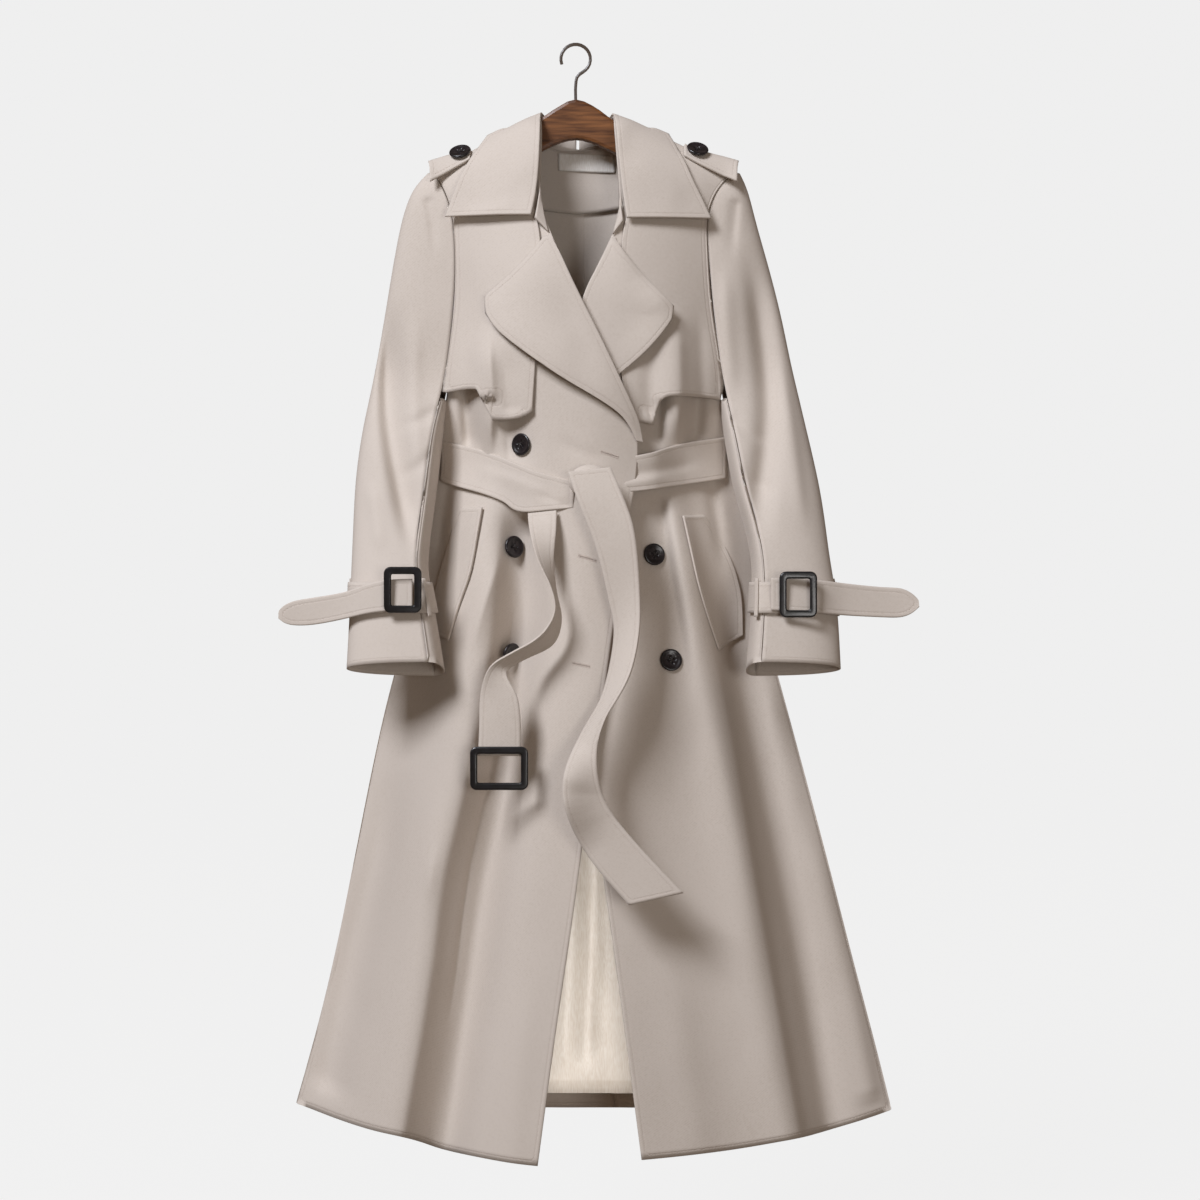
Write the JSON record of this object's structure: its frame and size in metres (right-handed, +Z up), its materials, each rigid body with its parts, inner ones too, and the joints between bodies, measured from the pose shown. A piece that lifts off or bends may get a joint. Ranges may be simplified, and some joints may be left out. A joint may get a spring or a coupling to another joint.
{
  "type": "trench coat on a hanger",
  "caption": "Long belted double-breasted trench coat hanging on a wooden hanger, with wide lapels, storm flaps, shoulder straps and strapped cuffs.",
  "frame": {"origin": "under the top of the hook's wire, where a rail holds it", "axes": "+Z up, the coat's front faces -Y, +X to the viewer's right"},
  "size_m": [0.7058, 0.2235, 1.2523],
  "materials": {
    "shell": "fine matt twill",
    "lining": "soft satin",
    "label": "woven tape, bare",
    "button": "polished horn look",
    "buckle": "glossy",
    "hanger_wood": "varnished",
    "hook_steel": "plated wire"
  },
  "bodies": {
    "root": {"hanger_wood": "hanger_wood", "hanger_hook": "hook_steel", "back_left": "shell", "back_right": "shell", "lining_back": "lining", "neck_facing": "shell", "neck_label": "label", "front_left": "shell", "front_right": "shell", "lapel_left": "shell", "lapel_right": "shell", "collar_left": "shell", "collar_right": "shell", "collar_stand_left": "shell", "collar_stand_right": "shell", "storm_flap_left": "shell", "storm_flap_right": "shell", "sleeve_left_upper": "shell", "sleeve_left_under": "shell", "sleeve_right_upper": "shell", "sleeve_right_under": "shell", "cuff_strap_left": "shell", "cuff_strap_right": "shell", "cuff_tail_left": "shell", "cuff_tail_right": "shell", "cuff_buckle_left": "buckle", "cuff_buckle_right": "buckle", "cuff_loop_left_inner": "shell", "cuff_loop_left_outer": "shell", "cuff_loop_right_inner": "shell", "cuff_loop_right_outer": "shell", "epaulette_left": "shell", "epaulette_right": "shell", "epaulette_button_left": "button", "epaulette_button_right": "button", "belt_left": "shell", "belt_right": "shell", "belt_back": "shell", "belt_knot": "shell", "belt_tail_wide": "shell", "belt_tail_buckle": "shell", "belt_buckle": "buckle", "button_1": "button", "button_2": "button", "button_3": "button", "button_4": "button", "button_5": "button", "pocket_left": "shell", "pocket_right": "shell"}
  },
  "joints": []
}
